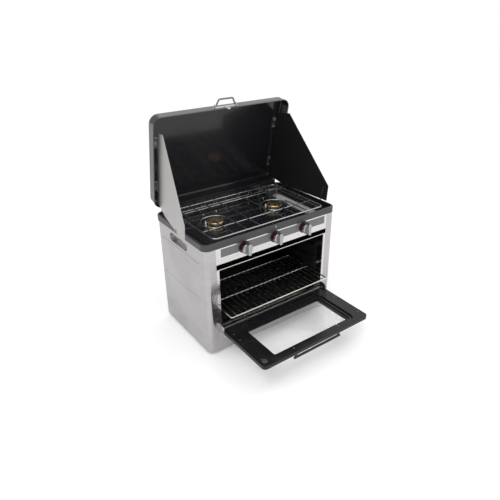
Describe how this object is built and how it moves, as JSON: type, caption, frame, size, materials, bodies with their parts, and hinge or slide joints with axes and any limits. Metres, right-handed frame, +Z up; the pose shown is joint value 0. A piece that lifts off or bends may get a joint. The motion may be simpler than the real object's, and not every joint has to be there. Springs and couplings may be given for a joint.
{
  "type": "camping stove with oven",
  "caption": "Portable gas cooker: wire-grid hob over an oven with a drop-down glass door, under a hinged lid with folding wind shields.",
  "frame": {"origin": "centre of the body's flat underside; the rubber feet reach 10 mm below it", "axes": "+Z up, -Y towards the front (door and knobs), +X to the right as seen from the front"},
  "size_m": [0.6057, 0.6198, 0.7933],
  "materials": {
    "stainless": "polished stainless sheet with fine grain",
    "mirror_steel": "mirror polished stainless",
    "rim_enamel": "charcoal satin enamel",
    "black_enamel": "gloss black vitreous enamel",
    "lid_coat": "satin black coating",
    "shield_coat": "warm grey outside, black inside",
    "door_enamel": "semi-gloss black enamel",
    "plated_wire": "nickel plated wire",
    "brass": "bright brass",
    "cast_alloy": "cast burner alloy",
    "knob_metal": "silver plated knob",
    "bezel": "dark red scale plate",
    "rubber": "matt",
    "ceramic": "glazed ceramic",
    "glass": "clear tempered glass",
    "seal": "silicone seal",
    "zinc": "zinc plated steel",
    "grip": "dark grey cup"
  },
  "bodies": {
    "body": {"base_pan": "stainless", "burner_base_left": "cast_alloy", "burner_base_right": "cast_alloy", "burner_cap_left": "brass", "burner_cap_right": "brass", "burner_stands": "zinc", "control_panel": "stainless", "drip_rings": "plated_wire", "electrodes": "ceramic", "feet": "rubber", "front_frame": "mirror_steel", "gas_inlet": "brass", "gas_manifold": "zinc", "gas_valves": "brass", "grip_cup_left": "grip", "grip_cup_right": "grip", "hinge_tab_left": "zinc", "hinge_tab_right": "zinc", "hob_rim": "rim_enamel", "hob_tray": "black_enamel", "knob_bezels": "bezel", "latch_stud": "zinc", "lid_hinge_bases": "zinc", "lower_front_panel": "stainless", "oven_baffle": "black_enamel", "oven_burner": "zinc", "oven_liner": "black_enamel", "rear_panel": "stainless", "shelf_rails": "black_enamel", "side_panel_left": "stainless", "side_panel_right": "stainless", "thermocouples": "brass", "venturi_pipes": "zinc"},
    "lid": {"lid_shell": "lid_coat", "lid_hinge_leaves": "zinc", "shield_brackets_left": "zinc", "shield_brackets_right": "zinc", "bail_plate": "zinc", "latch_hinge": "zinc"},
    "shield_left": {"wind_shield_left": "shield_coat"},
    "shield_right": {"wind_shield_right": "shield_coat"},
    "bail": {"bail_handle": "plated_wire"},
    "lid_latch": {"latch": "zinc"},
    "door": {"door_outer_shell": "door_enamel", "door_inner_panel": "door_enamel", "door_glass": "glass", "glass_seal": "seal", "door_handle": "door_enamel", "door_screws": "zinc", "door_catch": "zinc", "door_hinge_pins": "zinc"},
    "rack": {"oven_rack": "plated_wire"},
    "grid": {"pan_grid": "plated_wire"},
    "tap_left": {"spindle_left": "zinc"},
    "tap_middle": {"spindle_middle": "zinc"},
    "tap_right": {"spindle_right": "zinc"},
    "dial_left": {"knob_left": "knob_metal"},
    "dial_middle": {"knob_middle": "knob_metal"},
    "dial_right": {"knob_right": "knob_metal"}
  },
  "joints": [
    {"name": "lid_hinge", "type": "hinge", "parent": "body", "child": "lid", "pos_m": [0, 0.185, 0.4155], "axis": [1, 0, 0], "range_deg": [-15, 2]},
    {"name": "left_shield_hinge", "type": "hinge", "parent": "lid", "child": "shield_left", "pos_m": [-0.25, 0.20795, 0.42824], "axis": [0, -0.1959, 0.9806], "range_deg": [-10, 102.5]},
    {"name": "right_shield_hinge", "type": "hinge", "parent": "lid", "child": "shield_right", "pos_m": [0.25, 0.2153, 0.42971], "axis": [0, 0.1959, -0.9806], "range_deg": [-18, 89.5]},
    {"name": "bail_swing", "type": "hinge", "parent": "lid", "child": "bail", "pos_m": [0, 0.12642, 0.75969], "axis": [-1, 0, 0], "range_deg": [0, 85]},
    {"name": "latch_flip", "type": "hinge", "parent": "lid", "child": "lid_latch", "pos_m": [0, 0.11828, 0.7545], "axis": [-1, 0, 0], "range_deg": [0, 100]},
    {"name": "door_hinge", "type": "hinge", "parent": "body", "child": "door", "pos_m": [0, -0.162, 0.0845], "axis": [-1, 0, 0], "range_deg": [0, 90]},
    {"name": "rack_slide", "type": "slide", "parent": "body", "child": "rack", "axis": [0, 1, 0], "range_m": [0, 0.075]},
    {"name": "grid_lift", "type": "slide", "parent": "body", "child": "grid", "axis": [0, 0, 1], "range_m": [0, 0.04]},
    {"name": "tap_push_left", "type": "slide", "parent": "body", "child": "tap_left", "axis": [0, 1, 0], "range_m": [0, 0.003], "stiffness_N_per_m": 900},
    {"name": "knob_turn_left", "type": "hinge", "parent": "tap_left", "child": "dial_left", "pos_m": [-0.127, -0.165, 0.368], "axis": [0, -1, 0], "range_deg": [0, 180]},
    {"name": "tap_push_middle", "type": "slide", "parent": "body", "child": "tap_middle", "axis": [0, 1, 0], "range_m": [0, 0.003], "stiffness_N_per_m": 900},
    {"name": "knob_turn_middle", "type": "hinge", "parent": "tap_middle", "child": "dial_middle", "pos_m": [0, -0.165, 0.368], "axis": [0, -1, 0], "range_deg": [0, 180]},
    {"name": "tap_push_right", "type": "slide", "parent": "body", "child": "tap_right", "axis": [0, 1, 0], "range_m": [0, 0.003], "stiffness_N_per_m": 900},
    {"name": "knob_turn_right", "type": "hinge", "parent": "tap_right", "child": "dial_right", "pos_m": [0.127, -0.165, 0.368], "axis": [0, -1, 0], "range_deg": [0, 180]}
  ],
  "couplings": [
    {"joint": "rack_slide", "follows": "door_hinge", "m_per_rad": 0.0477}
  ]
}
